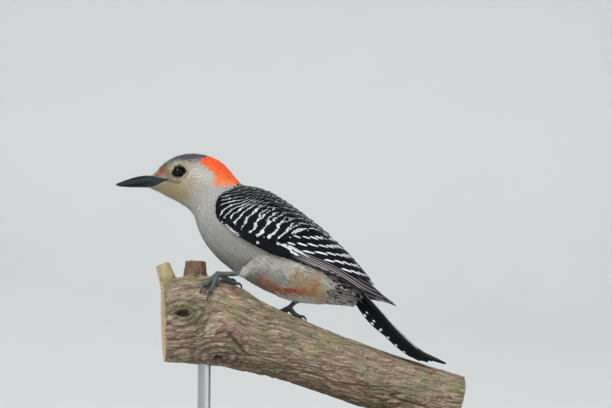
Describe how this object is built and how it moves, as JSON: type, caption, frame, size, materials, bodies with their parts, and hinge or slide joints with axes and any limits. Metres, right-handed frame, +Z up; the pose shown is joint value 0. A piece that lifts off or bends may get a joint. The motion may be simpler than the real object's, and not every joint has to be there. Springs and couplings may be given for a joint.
{
  "type": "woodpecker",
  "caption": "Life-size still model of a barred-backed woodpecker gripping a sloping cut limb, tail braced on the bark, on a flat display base with short rods.",
  "frame": {"origin": "middle of the flat underside of the display base", "axes": "+Z up, the bird faces -X with its tail towards +X, its left side is -Y and its right side +Y"},
  "size_m": [0.2194, 0.118, 0.2048],
  "materials": {
    "grey_plumage": "soft contour feathers, grey-buff with a red-orange belly patch and nape",
    "barred_plumage": "black feathers barred with white",
    "tail_plumage": "stiff glossy black feathers with white-barred outer edges",
    "bill_horn": "slate-black horn, satin",
    "eye_cornea": "dark maroon, wet gloss",
    "leg_skin": "blue-grey scaly skin",
    "claw_horn": "dark horn, satin",
    "bark": "weathered stringy bark with green and red-brown streaks",
    "stand_wood": "dark stained hardwood, satin varnish",
    "stand_steel": "brushed"
  },
  "bodies": {
    "root": {"head": "grey_plumage", "neck": "grey_plumage", "trunk": "grey_plumage", "thigh_left": "grey_plumage", "thigh_right": "grey_plumage", "wing_left": "barred_plumage", "wing_right": "barred_plumage", "tail": "tail_plumage", "bill_upper": "bill_horn", "bill_lower": "bill_horn", "eye_left": "eye_cornea", "eye_right": "eye_cornea", "shank_left": "leg_skin", "shank_right": "leg_skin", "foot_left": "leg_skin", "foot_right": "leg_skin", "claw_hallux_left": "claw_horn", "claw_inner_left": "claw_horn", "claw_middle_left": "claw_horn", "claw_outer_left": "claw_horn", "claw_hallux_right": "claw_horn", "claw_inner_right": "claw_horn", "claw_middle_right": "claw_horn", "claw_outer_right": "claw_horn", "perch_limb": "bark", "stand_base": "stand_wood", "stand_rod_front": "stand_steel", "stand_rod_rear": "stand_steel"}
  },
  "joints": []
}
